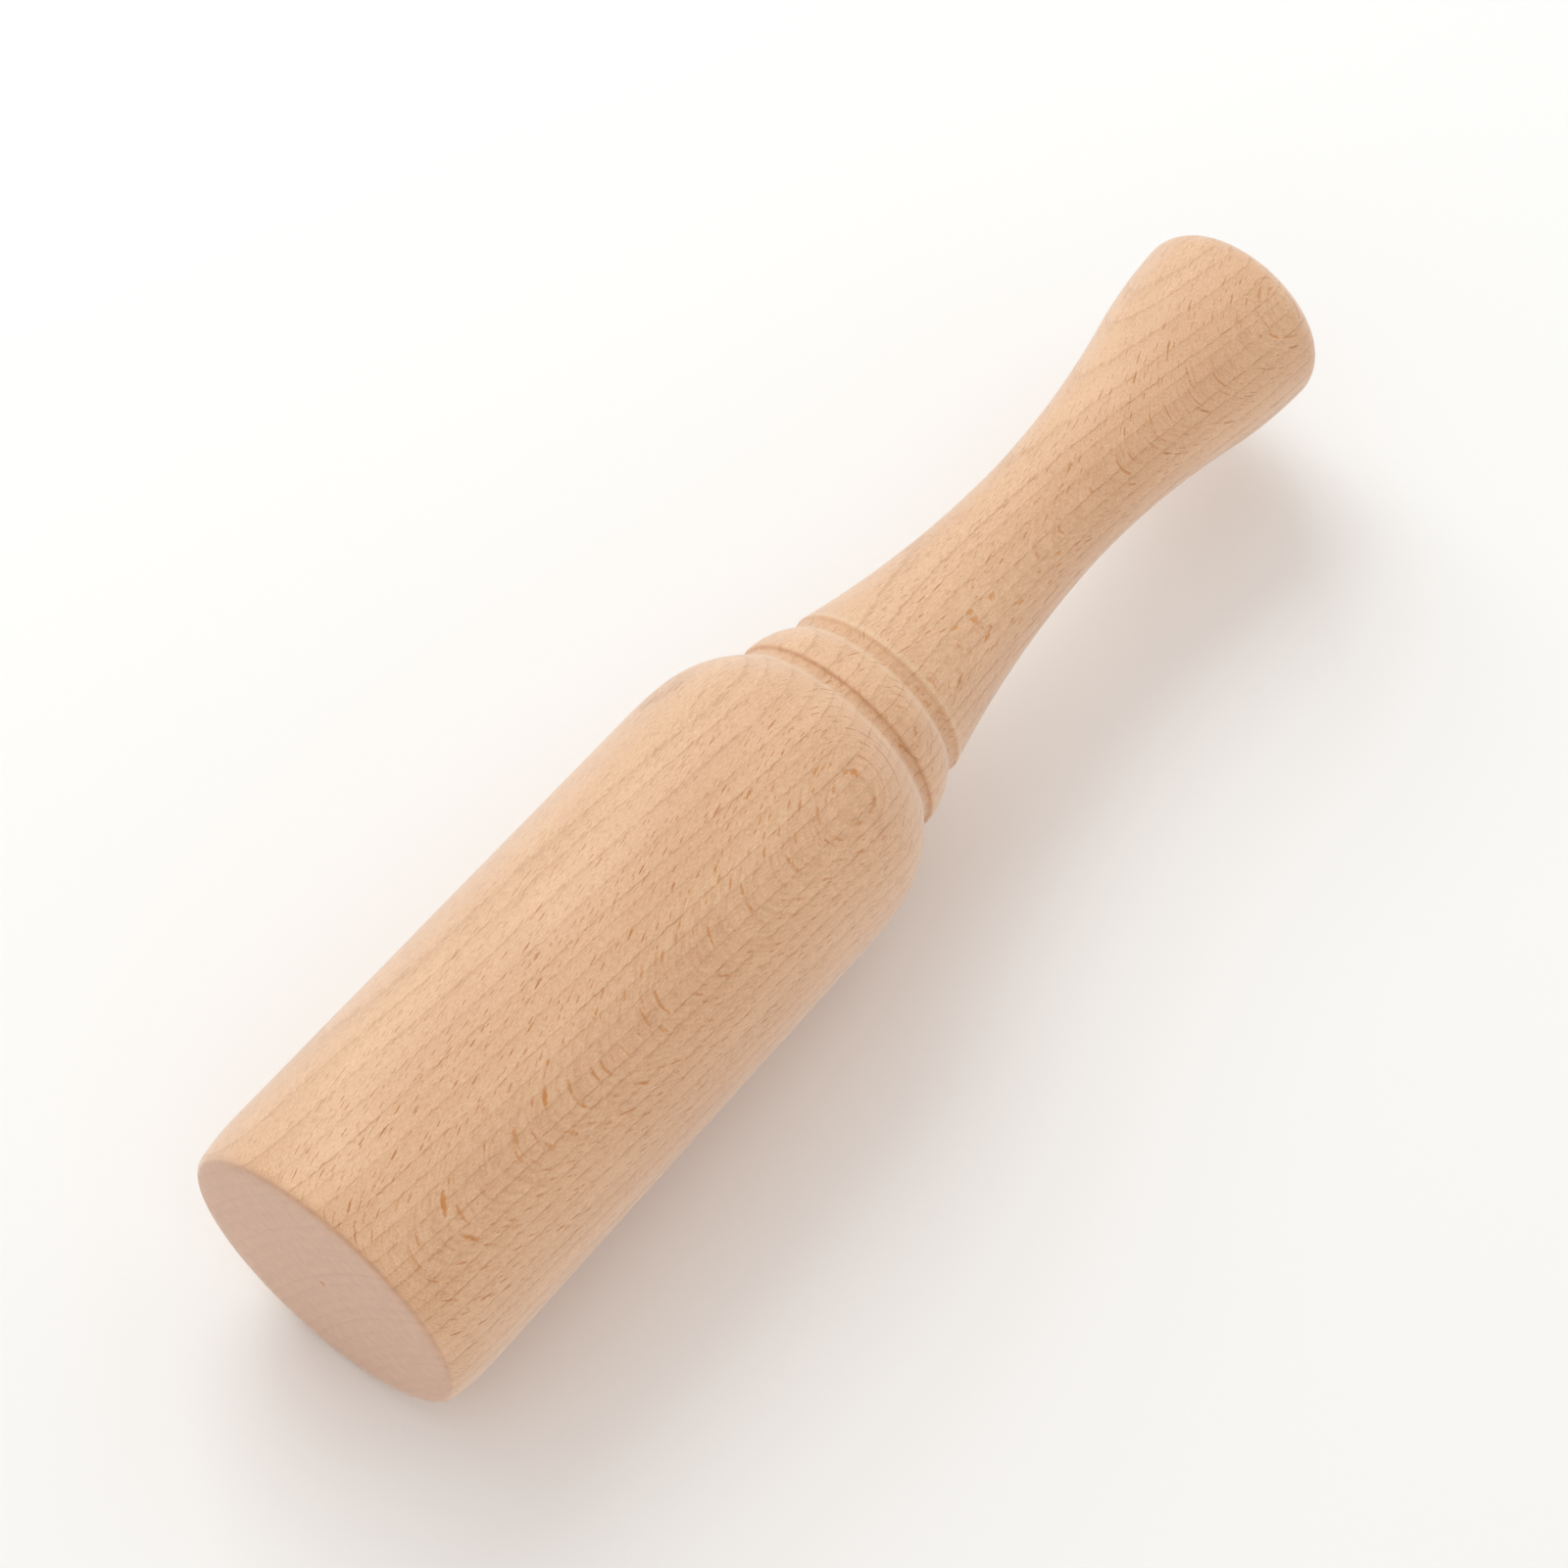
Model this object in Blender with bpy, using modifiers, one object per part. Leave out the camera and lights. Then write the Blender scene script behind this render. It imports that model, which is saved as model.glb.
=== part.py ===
"""Bar muddler turned from one beech blank, modelled lying on its side.

Metres, +Z up. The lathe axis runs along +X: the flat tamping face looks along -X and the
handle's end along +X. The origin is on the surface that the muddler lies on, below the
middle of its length.
"""

import math

import bpy

# Driving dimensions. A station is a place on the profile: its distance from the tamping
# face along the lathe axis, and its radius there. A sagitta is how far a stretch's arc
# stands out from its chord, negative where the turning is hollow.
LENGTH = 0.2362

FACE_RADIUS = 0.0251          # the flat tamping face
EDGE = (0.0010, 0.0269)       # the rounded rim of that face
EDGE_SAGITTA = 0.0003
SWELL = (0.0090, 0.0277)      # the head's widest place
SWELL_SAGITTA = 0.0002
SHOULDER = (0.1030, 0.0269)   # where the head's side starts to round over
DOME = (0.1114, 0.0263)
DOME_SAGITTA = 0.00015

DOME_LIP = (0.1233, 0.0202)   # the dome ends at the first groove
DOME_LIP_SAGITTA = 0.00104
FIRST_GROOVE_DEPTH = 0.0008   # below the bead's edge; its floor slopes down from the dome's lip
SECOND_GROOVE_DEPTH = 0.0005  # below both lips; its floor is flat
GROOVE_WALL = 0.0005          # how far a groove's wall leans along the axis
BEAD_START = (0.1256, 0.0203)
BEAD_END = (0.1330, 0.0176)
BEAD_SAGITTA = 0.0006
HANDLE_RIM = (0.1360, 0.0174)

NECK = (0.1810, 0.0115)       # the handle's waist
NECK_SAGITTA = -0.00136
FLARE = (0.2161, 0.0157)      # where the waist's hollow turns into the grip's bulge
FLARE_SAGITTA = -0.0010
BULGE = (0.2312, 0.0174)
BULGE_SAGITTA = 0.00033
END_FACE_RADIUS = 0.0130
END_SAGITTA = 0.00115

SEGMENTS = 64                 # facets around the lathe axis
CHORD = 0.0055                # longest step along a curved stretch
STRAIGHT_STEP = 0.0235        # and along a straight one

BEECH_COLOUR = (0.69, 0.46, 0.30, 1.0)
BEECH_ROUGHNESS = 0.55


def clear_scene():
    for obj in list(bpy.data.objects):
        bpy.data.objects.remove(obj, do_unlink=True)


def arc(start, end, sagitta, steps):
    """Points after start up to end, on the circular arc with that sagitta."""
    (s0, r0), (s1, r1) = start, end
    chord = math.hypot(s1 - s0, r1 - r0)
    radius = (chord * chord / 4 + sagitta * sagitta) / (2 * abs(sagitta))
    along = ((s1 - s0) / chord, (r1 - r0) / chord)
    outward = (-along[1], along[0])
    side = math.copysign(1.0, sagitta)
    half_angle = math.asin(chord / (2 * radius))
    centre_drop = side * (abs(sagitta) - radius)
    centre = ((s0 + s1) / 2 + outward[0] * centre_drop, (r0 + r1) / 2 + outward[1] * centre_drop)
    points = []
    for i in range(1, steps + 1):
        angle = half_angle * (2 * i / steps - 1)
        across = side * radius * math.cos(angle)
        forward = radius * math.sin(angle)
        points.append((centre[0] + outward[0] * across + along[0] * forward,
                       centre[1] + outward[1] * across + along[1] * forward))
    return points


def straight(start, end, steps):
    """Points after start up to end, evenly spaced."""
    return [(start[0] + (end[0] - start[0]) * i / steps,
             start[1] + (end[1] - start[1]) * i / steps) for i in range(1, steps + 1)]


def foot(lip, depth, lean):
    """The foot of the groove wall that falls from a lip, leaning along the axis by lean."""
    return (lip[0] + lean, lip[1] - depth)


def steps_for(start, end, longest):
    return max(2, round(math.hypot(end[0] - start[0], end[1] - start[1]) / longest))


def turned_profile():
    """The outline from the middle of the tamping face to the middle of the handle's end."""
    face_rim = (0.0, FACE_RADIUS)
    end_rim = (LENGTH, END_FACE_RADIUS)
    points = [(0.0, 0.0), face_rim]

    def curve(end, sagitta, longest=CHORD):
        points.extend(arc(points[-1], end, sagitta, steps_for(points[-1], end, longest)))

    curve(EDGE, EDGE_SAGITTA, CHORD / 6)
    curve(SWELL, SWELL_SAGITTA, CHORD / 2)
    points.extend(straight(SWELL, SHOULDER, steps_for(SWELL, SHOULDER, STRAIGHT_STEP)))
    curve(DOME, DOME_SAGITTA)
    curve(DOME_LIP, DOME_LIP_SAGITTA, CHORD / 2)
    points.append(foot(BEAD_START, FIRST_GROOVE_DEPTH, -GROOVE_WALL))
    points.append(BEAD_START)
    curve(BEAD_END, BEAD_SAGITTA, CHORD / 3)
    points.append(foot(BEAD_END, SECOND_GROOVE_DEPTH, GROOVE_WALL))
    points.append(foot(HANDLE_RIM, SECOND_GROOVE_DEPTH, -GROOVE_WALL))
    points.append(HANDLE_RIM)
    curve(NECK, NECK_SAGITTA)
    curve(FLARE, FLARE_SAGITTA)
    curve(BULGE, BULGE_SAGITTA)
    curve(end_rim, END_SAGITTA, CHORD / 4)
    points.append((LENGTH, 0.0))
    return points


def beech_material():
    material = bpy.data.materials.new("beech")
    material.use_nodes = True
    shader = material.node_tree.nodes["Principled BSDF"]
    shader.inputs["Base Color"].default_value = BEECH_COLOUR
    shader.inputs["Roughness"].default_value = BEECH_ROUGHNESS
    shader.inputs["Metallic"].default_value = 0.0
    material.diffuse_color = BEECH_COLOUR
    return material


def lathe_axis(collection):
    """An empty at the middle of the tamping face, whose Z axis is the lathe axis."""
    # The object lies on the flat of a facet, a little nearer the axis than its corners.
    height = SWELL[1] * math.cos(math.pi / SEGMENTS)
    axis = bpy.data.objects.new("lathe_axis", None)
    axis.location = (-LENGTH / 2, 0.0, height)
    axis.rotation_euler = (0.0, math.pi / 2, 0.0)
    collection.objects.link(axis)
    return axis


def turned_body(collection, axis):
    """The whole muddler: head, dome, bead and handle, turned in one piece."""
    # The screw turns an outline that runs from the handle's end down to the face.
    outline = [(radius, 0.0, place) for place, radius in reversed(turned_profile())]
    edges = [(i, i + 1) for i in range(len(outline) - 1)]
    mesh = bpy.data.meshes.new("turned_body")
    mesh.from_pydata(outline, edges, [])
    mesh.materials.append(beech_material())

    body = bpy.data.objects.new("turned_body", mesh)
    collection.objects.link(body)
    body.parent = axis
    body.rotation_euler = (0.0, 0.0, math.pi / SEGMENTS)   # half a facet, so one lies flat

    screw = body.modifiers.new("lathe", "SCREW")
    screw.axis = "Z"
    screw.angle = 2 * math.pi
    screw.steps = SEGMENTS
    screw.render_steps = SEGMENTS
    screw.use_merge_vertices = True
    screw.merge_threshold = 0.000001
    screw.use_smooth_shade = True
    return body


def main():
    clear_scene()
    collection = bpy.data.collections.new("muddler")
    bpy.context.scene.collection.children.link(collection)
    turned_body(collection, lathe_axis(collection))


main()
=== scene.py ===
"""Looks for the turned beech muddler: the fine turned surface, the wood, the floor, light and camera."""

import math

import bmesh
import bpy
import numpy as np
from bpy.props import FloatProperty, FloatVectorProperty, IntProperty, PointerProperty
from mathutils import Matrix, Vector, noise


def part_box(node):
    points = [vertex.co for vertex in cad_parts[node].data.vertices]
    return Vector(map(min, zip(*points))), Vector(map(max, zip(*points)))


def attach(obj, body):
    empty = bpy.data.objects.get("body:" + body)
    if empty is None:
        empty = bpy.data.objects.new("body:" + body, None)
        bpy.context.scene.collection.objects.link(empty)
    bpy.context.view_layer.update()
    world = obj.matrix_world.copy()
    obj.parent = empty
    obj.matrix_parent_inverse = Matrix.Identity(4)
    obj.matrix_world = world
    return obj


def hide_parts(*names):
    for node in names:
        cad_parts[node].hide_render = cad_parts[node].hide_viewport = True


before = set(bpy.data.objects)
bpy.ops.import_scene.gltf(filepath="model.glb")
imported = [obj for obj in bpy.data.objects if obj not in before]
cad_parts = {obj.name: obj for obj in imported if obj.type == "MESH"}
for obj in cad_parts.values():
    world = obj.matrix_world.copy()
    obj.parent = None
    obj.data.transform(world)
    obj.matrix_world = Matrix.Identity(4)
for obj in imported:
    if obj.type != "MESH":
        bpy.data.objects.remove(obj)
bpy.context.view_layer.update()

bl_info = {
    "name": "Turned Beech Muddler",
    "version": (1, 0, 0),
    "blender": (4, 5, 0),
    "location": "View3D > Sidebar > Muddler",
    "description": "Turns a beech bar muddler around its packed model and stages it on a pale floor",
    "category": "Add Mesh",
}

CAD_NODE = "turned_body"
CAD_LOW, CAD_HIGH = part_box(CAD_NODE)
MM = 0.001

# How far each arc of the outline stands out from its chord, negative where the turning is hollow.
RIM_SAGITTA = 0.30 * MM
SWELL_SAGITTA = 0.20 * MM
DOME_SAGITTA = 0.15 * MM
DOME_LIP_SAGITTA = 1.04 * MM
FIRST_FLOOR_SAGITTA = -0.08 * MM
BEAD_SAGITTA = 0.60 * MM
SECOND_FLOOR_SAGITTA = -0.05 * MM
NECK_SAGITTA = -1.36 * MM
FLARE_SAGITTA = -1.00 * MM
BULGE_SAGITTA = 0.33 * MM
END_SAGITTA = 1.15 * MM

GROOVE_MARGIN = 2.0 * MM   # the grooves' fine rings go on this far to each side
END_MARGIN = 0.1 * MM      # a place this near an end lies on its flat face
OUTLINE_STEP = 0.05 * MM   # between points of the fine outline, from which the mesh's rings are picked
GROOVE_STEP = 0.17 * MM    # between rings in and beside the grooves
CENTRE_STEP = 0.12 * MM    # between rings at the centre mark
FACE_STEP = 2.5 * MM       # between rings on the flat faces
EDGE_STEP = 0.40 * MM      # between rings on the face's rim and the handle's rounded end
DOME_STEP = 0.70 * MM      # between rings where the shoulder rounds over
SIDE_STEP = 1.9 * MM       # between rings on the long sides
CENTRE_RADIUS = 2.0 * MM   # the centre mark lies inside it, and sanding waves stop there
LIP_HIGHLIGHT_WIDTH = 0.9 * MM       # from the middle of a lip's painted highlight to where it has faded out
FLOOR_GAP = 0.05 * MM      # the floor lies this far below, clear of the muddler's lowest line

# Waves to a metre, along the lathe axis and the two ways across it, of the noise in the surface.
FIBRE_WAVES = (900, 1500, 1500)
CLUMP_WAVES = (350, 520, 520)
HAND_WAVES = (28, 75, 75)

# The size in mm of one cell of each pattern in the wood: towards the bark, around the tree and
# along the grain.
RIPPLE_CELL = (9.0, 2.4, 11.0)      # slow bends in the ring lines
ZIGZAG_CELL = (1.4, 0.6, 1.3)       # their small steps from ray to ray
FADE_CELL = (1.2, 0.8, 3.5)         # the stretches over which they fade and come back
FRINGE_CELL = (0.6, 0.12, 0.45)     # the frayed edges of rays
BROAD_RAY_SPACE = (1.6, 4.0)        # around and along; towards the bark it goes by the ray's length
SMALL_RAY_CELL = (8.0, 0.55, 2.0)
SMALL_RAY_HALF = (4.0, 0.055, 0.85)
LAYER_CELL = (7.0, 0.15, 3.0)
PORE_CELL = (0.15, 0.15, 1.0)
CLOUD_CELL = (9.0, 11.0, 42.0)      # one part of the blank a little darker than the next
MOTTLE_CELL = (1.8, 1.8, 9.0)       # the sawn end's fine unevenness
TORN_CELL = (0.35, 0.35, 0.7)

# Shading multiplies the wood's colour, from browner and darker to creamier and paler.
DARK_SHADE = (0.78, 0.66, 0.55)
PALE_SHADE = (1.22, 1.34, 1.45)


def linear(hex_colour):
    """An sRGB hex colour as the linear RGB that Blender's sockets hold."""
    channels = [int(hex_colour[i:i + 2], 16) / 255 for i in (0, 2, 4)]
    return tuple(c / 12.92 if c <= 0.04045 else ((c + 0.055) / 1.055) ** 2.4 for c in channels)


def size(name, description, default, **more):
    """A length in metres that a user can change."""
    return FloatProperty(name=name, description=description, default=default,
                         unit="LENGTH", subtype="DISTANCE", precision=5, **more)


def colour(name, description, hex_colour):
    """A colour that a user can change."""
    return FloatVectorProperty(name=name, description=description, default=linear(hex_colour),
                               size=3, min=0.0, max=1.0, subtype="COLOR")


# ---------------------------------------------------------------- sizes and colours


class TurningProperties(bpy.types.PropertyGroup):
    """The turned outline. A place is a distance from the tamping face along the lathe axis."""

    length: size("Length", "From the tamping face to the handle's end", CAD_HIGH.x - CAD_LOW.x)
    head_radius: size("Head radius", "At the head's widest place", (CAD_HIGH.y - CAD_LOW.y) / 2)
    face_radius: size("Face radius", "The flat of the tamping face", 0.0251)
    rim_round: size("Rim rounding", "How far the face's rim is rounded along the head", 0.0010)
    rim_radius: size("Rim radius", "Where the rim's rounding meets the head's side", 0.0269)
    swell_place: size("Swell", "Place of the head's widest ring", 0.0090)
    shoulder_place: size("Shoulder", "Place where the side starts to round over", 0.1030)
    shoulder_radius: size("Shoulder radius", "Radius there", 0.0269)
    dome_place: size("Dome", "Place of the dome's second station", 0.1114)
    dome_radius: size("Dome radius", "Radius there", 0.0263)
    dome_lip_place: size("Dome lip", "Place where the dome ends at the first groove", 0.1233)
    dome_lip_radius: size("Dome lip radius", "Radius there", 0.0202)
    bead_start_place: size("Bead start", "Place of the bead's edge at the first groove", 0.1256)
    bead_start_radius: size("Bead start radius", "Radius there", 0.0203)
    bead_end_place: size("Bead end", "Place of the bead's edge at the second groove", 0.1330)
    bead_end_radius: size("Bead end radius", "Radius there", 0.0176)
    handle_rim_place: size("Handle rim", "Place where the handle starts", 0.1360)
    handle_rim_radius: size("Handle rim radius", "Radius there", 0.0174)
    first_groove_depth: size("First groove", "Depth below the bead's edge", 0.0008)
    second_groove_depth: size("Second groove", "Depth below its lips", 0.0005)
    groove_wall: size("Groove wall", "How far a groove's wall leans along the axis", 0.0005)
    neck_place: size("Neck", "Place of the handle's waist", 0.1810)
    neck_radius: size("Neck radius", "Radius there", 0.0115)
    flare_place: size("Flare", "Place where the waist turns into the grip's bulge", 0.2161)
    flare_radius: size("Flare radius", "Radius there", 0.0157)
    bulge_place: size("Bulge", "Place of the grip's widest ring", 0.2312)
    bulge_radius: size("Bulge radius", "Radius there", 0.0174)
    end_radius: size("End radius", "The flat of the handle's end", 0.0130)
    sanding: size("Sanding", "How far sanding rounded every crisp edge", 0.00026)
    centre_mark: size("Centre mark", "Depth of the lathe centre's prick in the face", 0.0004)
    torn_grain: size("Torn grain", "Height of the fibres left standing in the grooves", 0.00016)
    hand_sway: size("Hand sway", "Slow waves that hand sanding leaves on the long sides", 0.00004)
    segments: IntProperty(name="Segments", description="Steps around the lathe axis",
                          default=352, min=64, max=1024)


class BeechProperties(bpy.types.PropertyGroup):
    """Steamed beech, sanded and left without a finish."""

    earlywood: colour("Earlywood", "The pale wood between the ring lines", "DFB28B")
    latewood: colour("Latewood", "The thin line that closes each ring", "BE8B5C")
    ray_end: colour("Ray ends", "The dashes where rays meet a flat-sawn face", "BD7E46")
    ray_face: colour("Ray flecks", "The flecks where rays lie open on a quarter-sawn face", "CB8848")
    # A painted highlight: the pale colour laid on the grooves' lips where they catch the light.
    painted_lip_highlight: colour("Painted lip highlight", "The groove's lips, painted pale as a highlight", "EACBA6")
    # Torn grain and painted shade: this darker colour lies on the groove floors, partly for the rough
    # fibres and partly for the shade in the grooves.
    torn_and_groove_shade: colour("Torn grain", "The rough floors of the grooves", "C4936A")
    end_grain: colour("End grain", "The tamping face, greyer and pinker than the sides", "CA9670")
    ring_spacing: size("Ring spacing", "One year's growth", 0.0025)
    pith_distance: size("Pith distance", "From the lathe axis to the tree's heart", 0.150)
    ray_height: size("Ray height", "Along the grain", 0.0023)
    ray_width: size("Ray width", "Across the grain", 0.00018)
    ray_length: size("Ray length", "Towards the bark", 0.020)
    quarter_angle: FloatProperty(name="Quarter face", default=math.radians(38.4), subtype="ANGLE",
                                 unit="ROTATION",
                                 description="Lean of the quarter-sawn face from straight up")
    dive: FloatProperty(name="Grain dive", default=math.radians(8.0), subtype="ANGLE", unit="ROTATION",
                        description="How far the grain dives under the quarter-sawn face")
    drift: FloatProperty(name="Grain drift", default=math.radians(3.4), subtype="ANGLE", unit="ROTATION",
                         description="How far the ring lines drift around the head")
    roughness: FloatProperty(name="Roughness", default=0.52, min=0.0, max=1.0, subtype="FACTOR",
                             description="Of the sanded surface")


class StageProperties(bpy.types.PropertyGroup):
    """Floor, light and camera."""

    floor: colour("Floor", "Matt white studio floor", "F8F8F8")
    surround: colour("Surround", "The warm white room around it", "FFFAF6")
    surround_strength: FloatProperty(name="Surround strength", default=0.80, min=0.0,
                                     description="Light from the room")
    key_colour: colour("Key colour", "A flash, a little cooler than the room", "EEFCFF")
    key_power: FloatProperty(name="Key light", default=13.0, min=0.0, unit="POWER",
                             description="The large softbox on the far left")
    key_size: size("Key size", "Side of the softbox", 1.2)
    key_place: FloatVectorProperty(name="Key place", default=(0.50, 1.10, 1.15), size=3, unit="LENGTH",
                                   subtype="TRANSLATION", description="Middle of the softbox")
    floor_radius: size("Floor radius", "Half the width of the floor", 5.0)
    lens: FloatProperty(name="Lens", default=127.3, min=1.0, description="Focal length in mm")
    distance: size("Camera distance", "From the aimed-at point", 0.900)
    elevation: FloatProperty(name="Elevation", default=math.radians(60.99), subtype="ANGLE",
                             unit="ROTATION", description="How steeply the camera looks down")
    heading: FloatProperty(name="Heading", default=math.radians(39.44), subtype="ANGLE",
                           unit="ROTATION", description="Turn of the view from the lathe axis")
    aim_place: size("Aim", "Place on the lathe axis that the camera aims at", 0.1134)
    aim_aside: size("Aim aside", "Offset of that point towards the far side", 0.0009)
    aim_above: size("Aim above", "Offset of that point upwards", 0.0003)


# ---------------------------------------------------------------- the turned outline


def arc(start, end, sagitta, steps):
    """Points after start up to end on an arc that stands out from its chord by sagitta."""
    start, end = np.array(start), np.array(end)
    chord = np.linalg.norm(end - start)
    along = (end - start) / chord
    outward = np.array((-along[1], along[0]))
    radius = (chord ** 2 / 4 + sagitta ** 2) / (2 * sagitta)
    centre = (start + end) / 2 + outward * (sagitta - radius)
    half_angle = math.asin(chord / (2 * abs(radius)))
    angles = half_angle * (2 * np.arange(1, steps + 1) / steps - 1)
    return (centre + np.outer(radius * np.cos(angles), outward)
            + np.outer(abs(radius) * np.sin(angles), along))


def outline(cut):
    """The crisp outline as cut, before sanding: rows of place and radius, face to handle's end."""
    widest = (cut.swell_place, cut.head_radius)
    shoulder = (cut.shoulder_place, cut.shoulder_radius)
    dome_lip = (cut.dome_lip_place, cut.dome_lip_radius)
    bead_start = (cut.bead_start_place, cut.bead_start_radius)
    bead_end = (cut.bead_end_place, cut.bead_end_radius)
    handle_rim = (cut.handle_rim_place, cut.handle_rim_radius)
    # The first groove slopes down from the dome to a wall at the bead; the second's floor is nearly flat.
    wall, shallow = cut.groove_wall, cut.second_groove_depth
    first_floor = (cut.bead_start_place - wall, cut.bead_start_radius - cut.first_groove_depth)
    second_floor = ((cut.bead_end_place + wall, cut.bead_end_radius - shallow),
                    (cut.handle_rim_place - wall, cut.handle_rim_radius - shallow))
    # The centre mark is a blunt cone in the middle of the tamping face.
    mark = cut.centre_mark
    rows = [np.array([(mark, 0.0), (mark * 0.3, mark), (0.0, mark * 1.6), (0.0, cut.face_radius)])]

    def curve(end, sagitta, steps):
        rows.append(arc(rows[-1][-1], end, sagitta, steps))

    def line(end):
        rows.append(np.array([end]))

    curve((cut.rim_round, cut.rim_radius), RIM_SAGITTA, 12)
    curve(widest, SWELL_SAGITTA, 24)
    line(shoulder)
    curve((cut.dome_place, cut.dome_radius), DOME_SAGITTA, 24)
    curve(dome_lip, DOME_LIP_SAGITTA, 48)
    curve(first_floor, FIRST_FLOOR_SAGITTA, 8)
    line(bead_start)
    curve(bead_end, BEAD_SAGITTA, 32)
    line(second_floor[0])
    curve(second_floor[1], SECOND_FLOOR_SAGITTA, 8)
    line(handle_rim)
    curve((cut.neck_place, cut.neck_radius), NECK_SAGITTA, 64)
    curve((cut.flare_place, cut.flare_radius), FLARE_SAGITTA, 48)
    curve((cut.bulge_place, cut.bulge_radius), BULGE_SAGITTA, 32)
    curve((cut.length, cut.end_radius), END_SAGITTA, 24)
    line((cut.length, 0.0))
    return np.concatenate(rows)


def sanded(crisp, rounding):
    """The outline at even small steps, with its edges rounded as sandpaper rounds them."""
    travel = np.concatenate([[0.0], np.cumsum(np.hypot(*np.diff(crisp, axis=0).T))])
    even = np.arange(0.0, travel[-1], OUTLINE_STEP)
    fine = np.stack([np.interp(even, travel, crisp[:, 0]), np.interp(even, travel, crisp[:, 1])], 1)
    reach = int(3 * rounding / OUTLINE_STEP)
    weights = np.exp(-0.5 * (np.arange(-reach, reach + 1) * OUTLINE_STEP / rounding) ** 2)
    weights /= weights.sum()
    # Past each end the outline goes on as its mirror image across the lathe axis.
    before, after = fine[reach:0:-1] * (1, -1), fine[-2:-reach - 2:-1] * (1, -1)
    padded = np.concatenate([before, fine, after])
    return np.stack([np.convolve(padded[:, i], weights, "valid") for i in (0, 1)], 1)


def ring_stations(fine, cut):
    """Picks rings from the fine outline: close together in the grooves, wide on the long sides."""
    def spacing(place, radius):
        if cut.dome_lip_place - GROOVE_MARGIN < place < cut.handle_rim_place + GROOVE_MARGIN:
            return GROOVE_STEP
        if place < END_MARGIN or place > cut.length - END_MARGIN:
            return CENTRE_STEP if radius < CENTRE_RADIUS else FACE_STEP
        if place < cut.swell_place / 3 or place > cut.bulge_place:
            return EDGE_STEP
        if cut.shoulder_place < place < cut.dome_lip_place:
            return DOME_STEP
        return SIDE_STEP
    picked = [0]
    travelled = 0.0
    for i in range(1, len(fine)):
        travelled += math.dist(fine[i], fine[i - 1])
        if travelled >= spacing(*fine[i]) or i == len(fine) - 1:
            picked.append(i)
            travelled = 0.0
    return fine[picked]


def groove_share(place, cut):
    """1 in the middle of a groove's floor, 0 a little past its lips, for torn grain and for the painted
    shade on the groove floors.
    """
    share = 0.0
    for low, high in ((cut.dome_lip_place, cut.bead_start_place),
                      (cut.bead_end_place, cut.handle_rim_place)):
        # The torn floor reaches a quarter past each lip, thinning out.
        middle, half = (low + high) / 2, (high - low) / 2
        share = max(share, 1.0 - min(1.0, abs(place - middle) / (half * 1.25)) ** 2)
    return share


def lip_highlight_share(place, cut):
    """1 on the grooves' lips, where a pale highlight is painted, falling to 0 within a millimetre."""
    # Each painted highlight lies just outside its groove, where the outline turns in.
    lips = (cut.dome_lip_place - 0.0007, cut.bead_end_place - 0.0003, cut.handle_rim_place + 0.0005)
    return max(0.0, 1.0 - min(abs(place - lip) for lip in lips) / LIP_HIGHLIGHT_WIDTH)


def wander(at, waves, shift=(0, 0, 0)):
    """Smooth noise around 0 at a place on the blank, with that many waves to a metre."""
    return noise.noise(Vector([way * count for way, count in zip(at, waves)]) + Vector(shift))


def turned_surface(cut, axis_height):
    """The muddler's mesh in the row frame; each vertex knows how far it lies on a groove's torn floor,
    which also sets painted shade there, and how strong the painted highlight on its lip is.
    """
    rings = ring_stations(sanded(outline(cut), cut.sanding), cut)
    start_x = CAD_LOW.x
    mesh = bmesh.new()
    torn_and_groove_shade = mesh.verts.layers.float.new("torn_and_groove_shade")
    painted_lip_highlight = mesh.verts.layers.float.new("painted_lip_highlight")
    turns = [2 * math.pi * i / cut.segments for i in range(cut.segments)]

    def vertex(place, radius, turn):
        at = Vector((place, radius * math.cos(turn), radius * math.sin(turn)))
        share = groove_share(place, cut)
        fibres = wander(at, FIBRE_WAVES) + 0.8 * wander(at, CLUMP_WAVES, (7, 3, 1))
        stand = share * cut.torn_grain * fibres + cut.hand_sway * wander(at, HAND_WAVES, (2, 9, 4))
        grown = radius + stand if radius > CENTRE_RADIUS else radius
        made = mesh.verts.new((start_x + place, grown * math.cos(turn),
                               axis_height + grown * math.sin(turn)))
        # The groove share marks torn grain and painted shade on the groove floors; the lip share marks
        # where a pale highlight is painted on the lips.
        made[torn_and_groove_shade] = share
        made[painted_lip_highlight] = lip_highlight_share(place, cut)
        return made

    loops = [[vertex(place, radius, turn) for turn in turns] for place, radius in rings[1:-1]]
    tips = [mesh.verts.new((start_x + place, 0.0, axis_height)) for place, _ in (rings[0], rings[-1])]
    for near, far in zip(loops, loops[1:]):
        for i in range(cut.segments):
            j = (i + 1) % cut.segments
            mesh.faces.new((near[i], far[i], far[j], near[j]))
    for tip, loop in ((tips[0], loops[0]), (tips[1], loops[-1])):
        for i in range(cut.segments):
            mesh.faces.new((tip, loop[i], loop[(i + 1) % cut.segments]))
    bmesh.ops.recalc_face_normals(mesh, faces=mesh.faces)
    return mesh


# ---------------------------------------------------------------- the wood


def add(tree, kind, *values, inputs=None, output=0, **settings):
    """Adds a node, sets its attributes, fills its inputs in order and then by name, with values
    or links, and gives back one of its outputs."""
    made = tree.nodes.new("ShaderNode" + kind)
    for name, value in settings.items():
        setattr(made, name, value)
    for key, value in (*enumerate(values), *(inputs or {}).items()):
        socket = made.inputs[key]
        if isinstance(value, bpy.types.NodeSocket):
            tree.links.new(value, socket)
        else:
            socket.default_value = (*value, 1.0) if socket.type == "RGBA" else value
    return made.outputs[output] if len(made.outputs) else None


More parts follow.
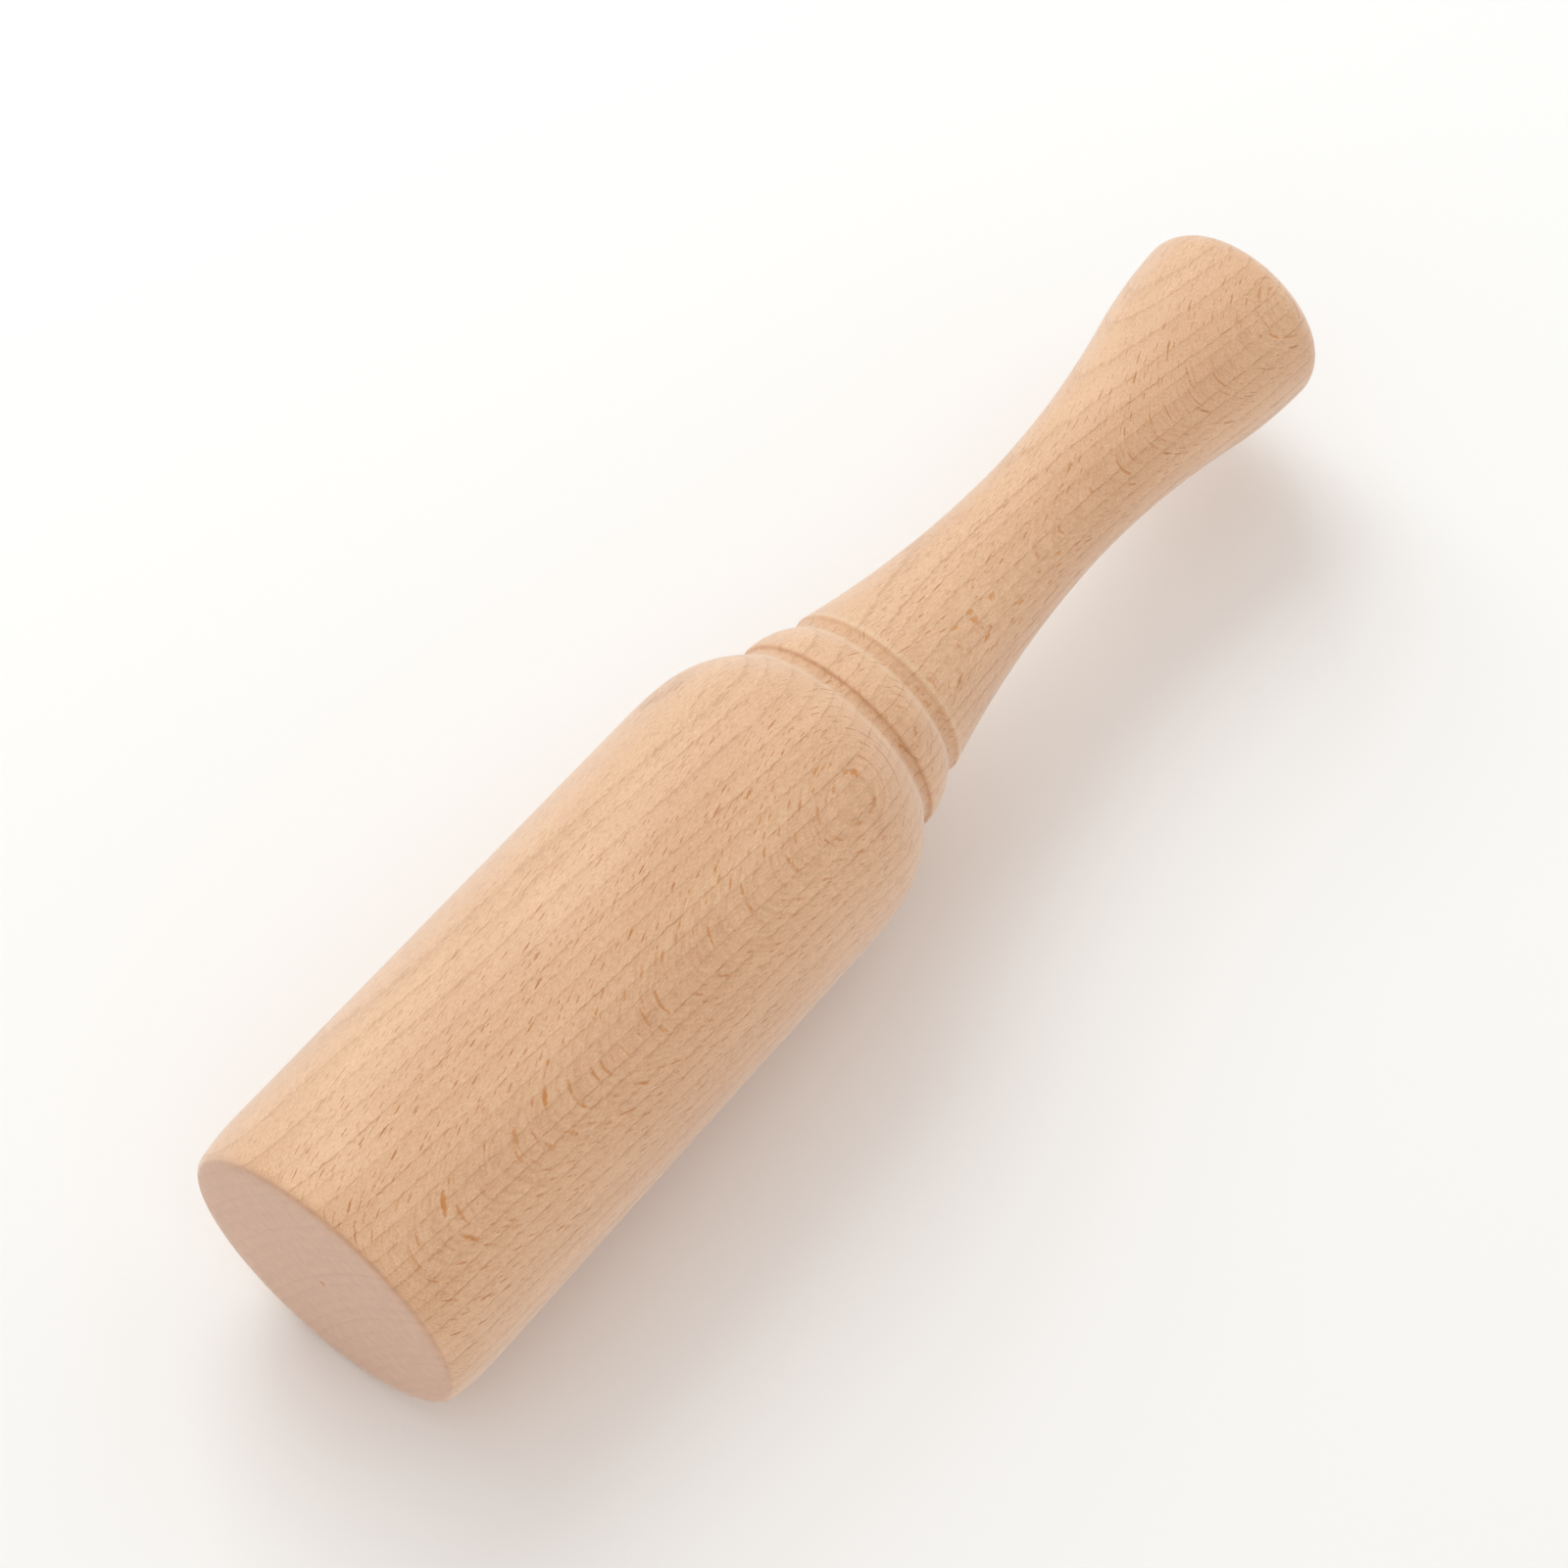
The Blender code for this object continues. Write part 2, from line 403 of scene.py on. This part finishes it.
def bare_material(name):
    """A new material and its emptied node tree."""
    material = bpy.data.materials.new(name)
    material.use_nodes = True
    material.node_tree.nodes.clear()
    return material, material.node_tree


def wood_axes(wood):
    """Unit vectors towards the bark, around the tree and along the grain, in the row frame."""
    axis = Vector((1, 0, 0))
    lean = wood.quarter_angle
    face = Vector((0, -math.sin(lean), math.cos(lean)))
    around = face * math.cos(wood.dive) + axis * math.sin(wood.dive)
    bark = Vector((0, math.cos(lean), math.sin(lean))) + axis * math.tan(wood.drift)
    bark = (bark - around * bark.dot(around)).normalized()
    return bark, around, bark.cross(around)


def beech(wood, axis_height):
    """Steamed beech, sanded and unfinished: a pale pinkish tan with thin darker ring lines,
    short dark dashes where the rays end on the flat-sawn sides, orange flecks where they lie
    open on the quarter-sawn band, and fine open pores along the grain that keep it matt."""
    material, tree = bare_material("sanded_beech")
    bark, around, grain = wood_axes(wood)
    place = add(tree, "TexCoord", output="Object")
    facing = add(tree, "NewGeometry", output="Normal")
    blank = add(tree, "VectorMath", place, (0, 0, axis_height), operation="SUBTRACT")
    # A slow noise bends the grain as it grew, by up to a millimetre over a few centimetres.
    sway = add(tree, "TexNoise", output="Color", inputs={"Vector": blank, "Scale": 16.0, "Detail": 1.0})
    sway = add(tree, "VectorMath", sway, (0.5, 0.5, 0.5), operation="SUBTRACT")
    sway = add(tree, "VectorMath", sway, inputs={"Scale": 2.0 * MM}, operation="SCALE")
    grown = add(tree, "VectorMath", blank, sway, operation="ADD")
    # Places in the tree, in millimetres: towards the bark, around the tree, along the grain.
    to_mm = [add(tree, "VectorMath", grown, axis / MM, output="Value", operation="DOT_PRODUCT")
             for axis in (bark, around, grain)]
    tree_place = add(tree, "CombineXYZ", *to_mm)

    def grain_noise(cell, detail, rough, shift):
        """Noise with cells that long in the tree's own directions. Its shift sets it apart from
        the other patterns, so that no two line up."""
        spot = add(tree, "Mapping", tree_place,
                   inputs={"Location": (shift, shift, shift), "Scale": [1 / side for side in cell]})
        return add(tree, "TexNoise", output="Fac",
                   inputs={"Vector": spot, "Scale": 1.0, "Detail": detail, "Roughness": rough})

    # Growth rings: wide circles about the far-off pith, of uneven width, with a slight ripple.
    outward = add(tree, "Math", to_mm[0], wood.pith_distance / MM, operation="ADD")
    squares = [add(tree, "Math", side, 2.0, operation="POWER") for side in (outward, to_mm[1])]
    radius = add(tree, "Math", add(tree, "Math", *squares, operation="ADD"), 0.5, operation="POWER")
    growth = add(tree, "Math", radius, 0.21, operation="MULTIPLY")
    growth = add(tree, "TexNoise", output="Fac", inputs={"W": growth, "Scale": 1.0, "Detail": 1.0},
                 noise_dimensions="1D")
    uneven = add(tree, "Math", growth, 2.2, operation="MULTIPLY")
    ripple = add(tree, "Math", grain_noise(RIPPLE_CELL, 3.0, 0.6, 5.0), 0.40, operation="MULTIPLY")
    zigzag = add(tree, "Math", grain_noise(ZIGZAG_CELL, 2.0, 0.6, 61.0), 0.80, operation="MULTIPLY")
    ripple = add(tree, "Math", ripple, zigzag, operation="ADD")
    uneven = add(tree, "Math", radius, uneven, operation="ADD")
    rippled = add(tree, "Math", uneven, ripple, operation="ADD")
    years = add(tree, "Math", rippled, MM / wood.ring_spacing, operation="MULTIPLY")
    year = add(tree, "Math", years, operation="FRACT")
    late = add(tree, "MapRange", year, 0.30, 0.96, interpolation_type="SMOOTHSTEP")
    # The thin line that closes a year comes up slowly, ends more sharply, fades in places, and is
    # bolder in some years than in others.
    rise = add(tree, "MapRange", year, 0.82, 0.94, interpolation_type="SMOOTHSTEP")
    fall = add(tree, "MapRange", year, 1.0, 0.955, interpolation_type="SMOOTHSTEP")
    line = add(tree, "Math", rise, fall, operation="MULTIPLY")
    faded = add(tree, "MapRange", grain_noise(FADE_CELL, 3.0, 0.7, 11.0), 0.34, 0.66,
                interpolation_type="SMOOTHSTEP")
    line = add(tree, "Math", line, faded, operation="MULTIPLY")
    whole_year = add(tree, "Math", years, operation="FLOOR")
    bold = add(tree, "TexWhiteNoise", output="Value", inputs={"W": whole_year}, noise_dimensions="1D")
    bold = add(tree, "MapRange", bold, 0.0, 1.0, 0.55, 1.2, interpolation_type="SMOOTHSTEP")
    line = add(tree, "Math", line, bold, operation="MULTIPLY")

    fringe = add(tree, "MapRange", grain_noise(FRINGE_CELL, 2.0, 0.6, 9.0), 0.3, 0.7, -0.35, 0.35)

    def rays(cell, half, share, shift):
        """Lens-shaped rays with frayed edges, scattered one to a cell: how far each point is in one."""
        spot = add(tree, "Mapping", tree_place,
                   inputs={"Location": (shift, shift, shift), "Scale": [1 / side for side in cell]})
        middle = add(tree, "TexVoronoi", output="Position",
                     inputs={"Vector": spot, "Scale": 1.0, "Randomness": 1.0},
                     voronoi_dimensions="3D", feature="F1")
        lens = [whole / part for whole, part in zip(cell, half)]
        reach = add(tree, "VectorMath", spot, middle, operation="SUBTRACT")
        reach = add(tree, "VectorMath", reach, lens, operation="MULTIPLY")
        reach = add(tree, "VectorMath", reach, output="Value", operation="LENGTH")
        reach = add(tree, "Math", reach, fringe, operation="ADD")
        chance = add(tree, "SeparateColor", middle.node.outputs["Color"]).node.outputs
        grown_size = add(tree, "MapRange", chance[1], 0.0, 1.0, 0.45, 1.45)
        reach = add(tree, "Math", reach, grown_size, operation="DIVIDE")
        inside = add(tree, "MapRange", reach, 1.0, 0.45, interpolation_type="SMOOTHSTEP")
        there = add(tree, "MapRange", chance[0], 1.0 - share, 1.0 - share + 0.35)
        return add(tree, "Math", inside, there, operation="MULTIPLY")

    ray_mm = [side / MM for side in (wood.ray_length, wood.ray_width, wood.ray_height)]
    broad = rays((ray_mm[0] * 0.8, *BROAD_RAY_SPACE), [side / 2 for side in ray_mm], 0.75, 3.0)
    small = rays(SMALL_RAY_CELL, SMALL_RAY_HALF, 0.95, 17.0)

    # Where the surface lies square to the direction around the tree, rays show their broad
    # faces; where it lies square to the bark, only their ends.
    across = add(tree, "VectorMath", facing, around, output="Value", operation="DOT_PRODUCT")
    open_face = add(tree, "Math", across, operation="ABSOLUTE")
    open_face = add(tree, "MapRange", open_face, 0.88, 0.99, interpolation_type="SMOOTHSTEP")
    ray_colour = add(tree, "Mix", open_face, inputs={6: wood.ray_end, 7: wood.ray_face}, output=2,
                     data_type="RGBA")
    along = add(tree, "VectorMath", facing, grain, output="Value", operation="DOT_PRODUCT")
    end_on = add(tree, "Math", along, operation="ABSOLUTE")
    end_on = add(tree, "MapRange", end_on, 0.72, 0.96, interpolation_type="SMOOTHSTEP")

    # Layers of fibre, 0.15 mm thick: they show only where the surface skims them.
    fibres = grain_noise(LAYER_CELL, 2.0, 0.6, 23.0)
    dark = add(tree, "MapRange", fibres, 0.50, 0.64, 0.04, -0.23, interpolation_type="SMOOTHSTEP")
    pale = add(tree, "MapRange", fibres, 0.36, 0.50, 0.18, 0.0, interpolation_type="SMOOTHSTEP")
    skims = add(tree, "MapRange", across, 0.86, 0.985, interpolation_type="SMOOTHSTEP")
    layers = add(tree, "Math", dark, pale, operation="ADD")
    layers = add(tree, "Math", layers, skims, operation="MULTIPLY")
    # Pores are 0.06 mm wide; they are drawn more than twice that, so that they show at all.
    pores = grain_noise(PORE_CELL, 2.0, 0.65, 31.0)
    pore_shade = add(tree, "MapRange", pores, 0.30, 0.70, -0.60, 0.60)
    cloud_shade = add(tree, "MapRange", grain_noise(CLOUD_CELL, 2.0, 0.5, 41.0), 0.3, 0.7, -0.22, 0.22)
    # Pores, layers and clouds all shade the wood the same way: browner where dark, creamier where pale.
    shade = add(tree, "Math", pore_shade, layers, operation="ADD")
    shade = add(tree, "Math", shade, cloud_shade, operation="ADD")
    shade = add(tree, "Math", shade, 0.5, operation="MULTIPLY")
    shade = add(tree, "Math", shade, 0.5, operation="ADD")
    shading = add(tree, "Mix", shade, inputs={6: DARK_SHADE, 7: PALE_SHADE}, output=2, data_type="RGBA")

    # On the end grain the years show only faintly, and the rays as short pale lines towards the bark.
    sawn_years = add(tree, "MapRange", late, 0.0, 1.0, 1.015, 0.978, interpolation_type="SMOOTHSTEP")
    mottle = add(tree, "MapRange", grain_noise(MOTTLE_CELL, 5.0, 0.75, 71.0), 0.38, 0.62, -0.07, 0.07,
                 interpolation_type="SMOOTHSTEP")
    sawn = add(tree, "Math", sawn_years, mottle, operation="ADD")
    sawn_rays = add(tree, "Math", broad, small, operation="ADD")
    sawn_rays = add(tree, "Math", sawn_rays, 0.10, operation="MULTIPLY")
    sawn = add(tree, "Math", sawn, sawn_rays, operation="ADD")
    sawn = add(tree, "CombineColor", sawn, sawn, sawn)
    end_colour = add(tree, "Mix", 1.0, inputs={6: wood.end_grain, 7: sawn}, output=2,
                     data_type="RGBA", blend_type="MULTIPLY")

    # The colour is built up in coats over the earlywood, each laid on by its own share.
    # The groove floors' coat is torn grain and painted shade; the lips' coat is a painted highlight.
    torn_and_groove_shade = add(tree, "Attribute", output="Fac", attribute_name="torn_and_groove_shade")
    painted_lip_highlight = add(tree, "Attribute", output="Fac", attribute_name="painted_lip_highlight")
    wood_colour = wood.earlywood
    for pattern, share, coat, blend in (
            (late, 0.16, wood.latewood, "MIX"),
            (line, 0.85, wood.latewood, "MIX"),
            (broad, 1.0, ray_colour, "MIX"),
            (small, 0.80, ray_colour, "MIX"),
            (1.0, 1.0, shading, "MULTIPLY"),
            (end_on, 0.88, end_colour, "MIX"),
            # Torn grain, and painted shade darkening the groove floors.
            (torn_and_groove_shade, 0.24, wood.torn_and_groove_shade, "MIX"),
            # A painted highlight: pale lines where the lips catch the light.
            (painted_lip_highlight, 0.36, wood.painted_lip_highlight, "MIX")):
        cover = pattern if share == 1.0 else add(tree, "Math", pattern, share,
                                                 operation="MULTIPLY", use_clamp=True)
        wood_colour = add(tree, "Mix", cover, inputs={6: wood_colour, 7: coat}, output=2,
                          data_type="RGBA", blend_type=blend)

    # Ring lines and rays lie a little below the surface, and torn grain stands rough above it.
    sunk = add(tree, "Math", line, broad, operation="ADD")
    sunk = add(tree, "Math", sunk, small, operation="ADD")
    sunk = add(tree, "Math", sunk, -0.6, operation="MULTIPLY")
    relief = add(tree, "Math", pores, 0.5, operation="MULTIPLY")
    relief = add(tree, "Math", relief, sunk, operation="ADD")
    torn_relief = add(tree, "Math", torn_and_groove_shade, grain_noise(TORN_CELL, 3.0, 0.7, 51.0), operation="MULTIPLY")
    relief = add(tree, "Math", relief, torn_relief, operation="ADD")
    bump = add(tree, "Bump", inputs={"Height": relief, "Strength": 0.65, "Distance": 0.08 * MM})
    rough = add(tree, "MapRange", pores, 0.3, 0.7, wood.roughness - 0.05, wood.roughness + 0.07)
    torn_rough = add(tree, "Math", torn_and_groove_shade, 0.15, operation="MULTIPLY")
    rough = add(tree, "Math", rough, torn_rough, operation="ADD", use_clamp=True)
    shader = add(tree, "BsdfPrincipled",
                 inputs={"Base Color": wood_colour, "Roughness": rough, "IOR": 1.5, "Metallic": 0.0,
                         "Sheen Weight": 0.55, "Sheen Roughness": 0.5, "Normal": bump})
    add(tree, "OutputMaterial", shader)
    return material


def matt_floor(stage):
    """Matt white painted board: even and without gloss, so that only soft shadows show on it."""
    material, tree = bare_material("matt_white_board")
    place = add(tree, "TexCoord", output="Object")
    # Roller texture, about 2 mm between bumps and too shallow to see as more than matt.
    stipple = add(tree, "TexNoise", output="Fac", inputs={"Vector": place, "Scale": 500.0})
    bump = add(tree, "Bump", inputs={"Height": stipple, "Strength": 0.05, "Distance": 0.05 * MM})
    shader = add(tree, "BsdfPrincipled",
                 inputs={"Base Color": stage.floor, "Roughness": 0.9, "Normal": bump})
    add(tree, "OutputMaterial", shader)
    return material


# ---------------------------------------------------------------- operators


class MUDDLER_OT_turn_body(bpy.types.Operator):
    """Turn the muddler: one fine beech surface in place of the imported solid"""

    bl_idname = "muddler.turn_body"
    bl_label = "Turn the Muddler"

    def execute(self, context):
        cut, wood = context.scene.muddler_turning, context.scene.muddler_beech
        axis_height = (CAD_LOW.z + CAD_HIGH.z) / 2
        surface = turned_surface(cut, axis_height)
        mesh = bpy.data.meshes.new("beech_muddler")
        surface.to_mesh(mesh)
        surface.free()
        mesh.shade_smooth()
        mesh.materials.append(beech(wood, axis_height))
        muddler = bpy.data.objects.new("beech_muddler", mesh)
        context.scene.collection.objects.link(muddler)
        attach(muddler, "root")
        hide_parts(CAD_NODE)
        return {"FINISHED"}


class MUDDLER_OT_set_stage(bpy.types.Operator):
    """Lay out the pale floor, the soft light and the camera"""

    bl_idname = "muddler.set_stage"
    bl_label = "Set the Stage"

    def execute(self, context):
        scene, stage = context.scene, context.scene.muddler_stage
        # The plain sRGB transform keeps the wood's hex colours and the floor's white as chosen.
        scene.view_settings.view_transform = "Standard"
        self.floor(scene, stage)
        self.light(scene, stage)
        self.camera(scene, stage)
        return {"FINISHED"}

    def floor(self, scene, stage):
        disc = bmesh.new()
        bmesh.ops.create_circle(disc, cap_ends=True, segments=96, radius=stage.floor_radius)
        mesh = bpy.data.meshes.new("studio_floor")
        disc.to_mesh(mesh)
        disc.free()
        mesh.materials.append(matt_floor(stage))
        floor = bpy.data.objects.new("studio_floor", mesh)
        floor.location.z = CAD_LOW.z - FLOOR_GAP
        scene.collection.objects.link(floor)

    def light(self, scene, stage):
        world = bpy.data.worlds.new("white_room")
        world.use_nodes = True
        background = world.node_tree.nodes["Background"]
        background.inputs["Color"].default_value = (*stage.surround, 1.0)
        background.inputs["Strength"].default_value = stage.surround_strength
        scene.world = world
        lamp = bpy.data.lights.new("key_softbox", "AREA")
        lamp.shape = "SQUARE"
        lamp.size = stage.key_size
        lamp.energy = stage.key_power
        lamp.color = stage.key_colour
        key = bpy.data.objects.new("key_softbox", lamp)
        key.location = stage.key_place
        key.rotation_euler = (-key.location).to_track_quat("-Z", "Y").to_euler()
        scene.collection.objects.link(key)

    def camera(self, scene, stage):
        axis_height = (CAD_LOW.z + CAD_HIGH.z) / 2
        aim = Vector((CAD_LOW.x + stage.aim_place, stage.aim_aside, axis_height + stage.aim_above))
        forward = Vector((math.cos(stage.elevation) * math.cos(stage.heading),
                          math.cos(stage.elevation) * math.sin(stage.heading),
                          -math.sin(stage.elevation)))
        lens = bpy.data.cameras.new("camera")
        lens.lens = stage.lens
        camera = bpy.data.objects.new("camera", lens)
        camera.location = aim - forward * stage.distance
        camera.rotation_euler = forward.to_track_quat("-Z", "Y").to_euler()
        scene.collection.objects.link(camera)
        scene.camera = camera


class MUDDLER_PT_workshop(bpy.types.Panel):
    """Sizes, wood and stage of the muddler"""

    bl_idname = "MUDDLER_PT_workshop"
    bl_label = "Muddler"
    bl_space_type = "VIEW_3D"
    bl_region_type = "UI"
    bl_category = "Muddler"

    def draw(self, context):
        for group in ("muddler_turning", "muddler_beech", "muddler_stage"):
            held = getattr(context.scene, group)
            box = self.layout.box()
            for name in held.bl_rna.properties.keys():
                if name not in ("rna_type", "name"):
                    box.prop(held, name)
        self.layout.operator("muddler.turn_body")
        self.layout.operator("muddler.set_stage")


CLASSES = (TurningProperties, BeechProperties, StageProperties,
           MUDDLER_OT_turn_body, MUDDLER_OT_set_stage, MUDDLER_PT_workshop)
GROUPS = {"muddler_turning": TurningProperties, "muddler_beech": BeechProperties,
          "muddler_stage": StageProperties}


def register():
    for cls in CLASSES:
        bpy.utils.register_class(cls)
    for name, group in GROUPS.items():
        setattr(bpy.types.Scene, name, PointerProperty(type=group))


def unregister():
    for name in GROUPS:
        delattr(bpy.types.Scene, name)
    for cls in reversed(CLASSES):
        bpy.utils.unregister_class(cls)


def main():
    register()
    bpy.ops.muddler.turn_body()
    bpy.ops.muddler.set_stage()


if __name__ == "__main__":
    main()
